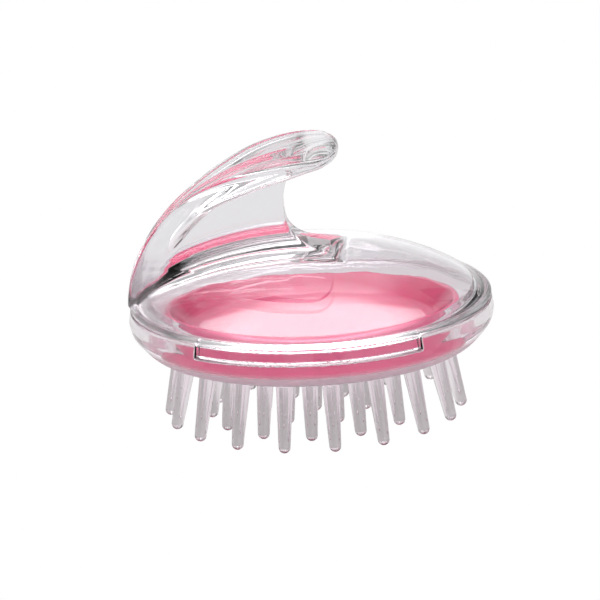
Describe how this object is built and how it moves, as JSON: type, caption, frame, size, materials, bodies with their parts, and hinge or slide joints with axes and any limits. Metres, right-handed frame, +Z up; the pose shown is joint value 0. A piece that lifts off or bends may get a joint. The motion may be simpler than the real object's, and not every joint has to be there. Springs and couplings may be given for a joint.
{
  "type": "scalp massager brush",
  "caption": "Palm-held scalp massager: clear domed cover with a hooked finger handle over a pink dish, on a clear base with rings of tapered rounded teeth.",
  "frame": {"origin": "centre of the circle of tooth tips, on the plane the tips stand on", "axes": "+Z up through the crown of the handle, +X from the handle's root towards its tip, +Y to the left of someone looking along +X"},
  "size_m": [0.08, 0.08, 0.0605],
  "materials": {
    "cover_clear": "clear, polished mould surface",
    "base_clear": "clear, polished mould surface",
    "tooth_clear": "clear, soft gloss",
    "dish_pink": "translucent pink, glossy"
  },
  "bodies": {
    "base": {"base_shell": "base_clear", "insert_dish": "dish_pink", "tooth_outer_01": "tooth_clear", "tooth_outer_02": "tooth_clear", "tooth_outer_03": "tooth_clear", "tooth_outer_04": "tooth_clear", "tooth_outer_05": "tooth_clear", "tooth_outer_06": "tooth_clear", "tooth_outer_07": "tooth_clear", "tooth_outer_08": "tooth_clear", "tooth_outer_09": "tooth_clear", "tooth_outer_10": "tooth_clear", "tooth_outer_11": "tooth_clear", "tooth_outer_12": "tooth_clear", "tooth_outer_13": "tooth_clear", "tooth_outer_14": "tooth_clear", "tooth_outer_15": "tooth_clear", "tooth_outer_16": "tooth_clear", "tooth_outer_17": "tooth_clear", "tooth_outer_18": "tooth_clear", "tooth_middle_01": "tooth_clear", "tooth_middle_02": "tooth_clear", "tooth_middle_03": "tooth_clear", "tooth_middle_04": "tooth_clear", "tooth_middle_05": "tooth_clear", "tooth_middle_06": "tooth_clear", "tooth_middle_07": "tooth_clear", "tooth_middle_08": "tooth_clear", "tooth_middle_09": "tooth_clear", "tooth_middle_10": "tooth_clear", "tooth_middle_11": "tooth_clear", "tooth_middle_12": "tooth_clear", "tooth_middle_13": "tooth_clear", "tooth_inner_01": "tooth_clear", "tooth_inner_02": "tooth_clear", "tooth_inner_03": "tooth_clear", "tooth_inner_04": "tooth_clear", "tooth_inner_05": "tooth_clear", "tooth_inner_06": "tooth_clear", "tooth_centre": "tooth_clear"},
    "cover": {"cover_dome": "cover_clear", "handle_web": "cover_clear", "handle_blade": "cover_clear"}
  },
  "joints": [
    {"name": "cover_lift", "type": "slide", "parent": "base", "child": "cover", "axis": [0, 0, 1], "range_m": [0, 0.03]}
  ]
}
